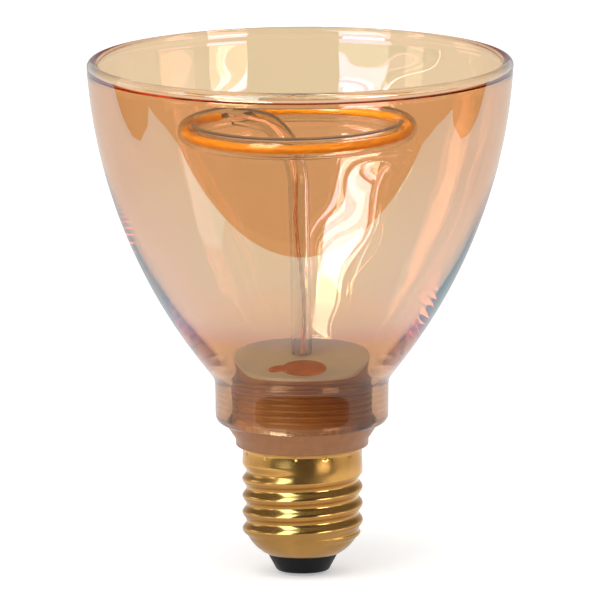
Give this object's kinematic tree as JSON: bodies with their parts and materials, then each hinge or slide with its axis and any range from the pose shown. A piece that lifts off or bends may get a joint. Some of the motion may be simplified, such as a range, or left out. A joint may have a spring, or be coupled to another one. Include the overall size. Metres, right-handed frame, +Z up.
{
  "type": "open-cup filament lamp",
  "caption": "Screw-cap lamp with an open amber glass cup on a moulded base; inside, a clear bent glass tube rises and opens into a level ring that holds a flexible light filament.",
  "frame": {"origin": "tip of the centre contact, on the lamp's axis", "axes": "+Z up the lamp's axis from the contact to the open rim, -Y towards the viewer of the picture, +X to that viewer's right"},
  "size_m": [0.0922, 0.0922, 0.1126],
  "materials": {
    "amber_glass": "blown amber glass, polished",
    "clear_glass": "drawn clear glass, polished",
    "filament_silicone": "orange silicone coat, satin",
    "terminal_metal": "plain metal",
    "lead_wire": "reddish-brown lacquered wire",
    "sealing_glue": "set brown glue, glossy",
    "clear_bond": "clear set bond",
    "housing_plastic": "moulded taupe plastic, satin",
    "gold_shell": "gold-coloured rolled sheet, polished",
    "black_insulator": "black, soft gloss",
    "contact_metal": "plain rivet",
    "board_laminate": "green board laminate",
    "chip_plastic": "black moulded package",
    "capacitor_sleeve": "dark shrink sleeve",
    "resistor_body": "lacquered ceramic",
    "live_insulation": "red wire insulation",
    "neutral_insulation": "black wire insulation"
  },
  "bodies": {
    "root": {"glass_cup": "amber_glass", "filament_tube": "clear_glass", "led_filament": "filament_silicone", "filament_terminal_left": "terminal_metal", "filament_terminal_right": "terminal_metal", "lead_wire_left": "lead_wire", "lead_wire_right": "lead_wire", "sealing_glue": "sealing_glue", "neck_bond": "clear_bond", "base_housing": "housing_plastic", "screw_shell": "gold_shell", "insulator": "black_insulator", "centre_contact": "contact_metal", "driver_board": "board_laminate", "bridge_rectifier": "chip_plastic", "driver_chip": "chip_plastic", "smoothing_capacitor": "capacitor_sleeve", "fuse_resistor": "resistor_body", "live_wire": "live_insulation", "neutral_wire": "neutral_insulation"}
  },
  "joints": []
}
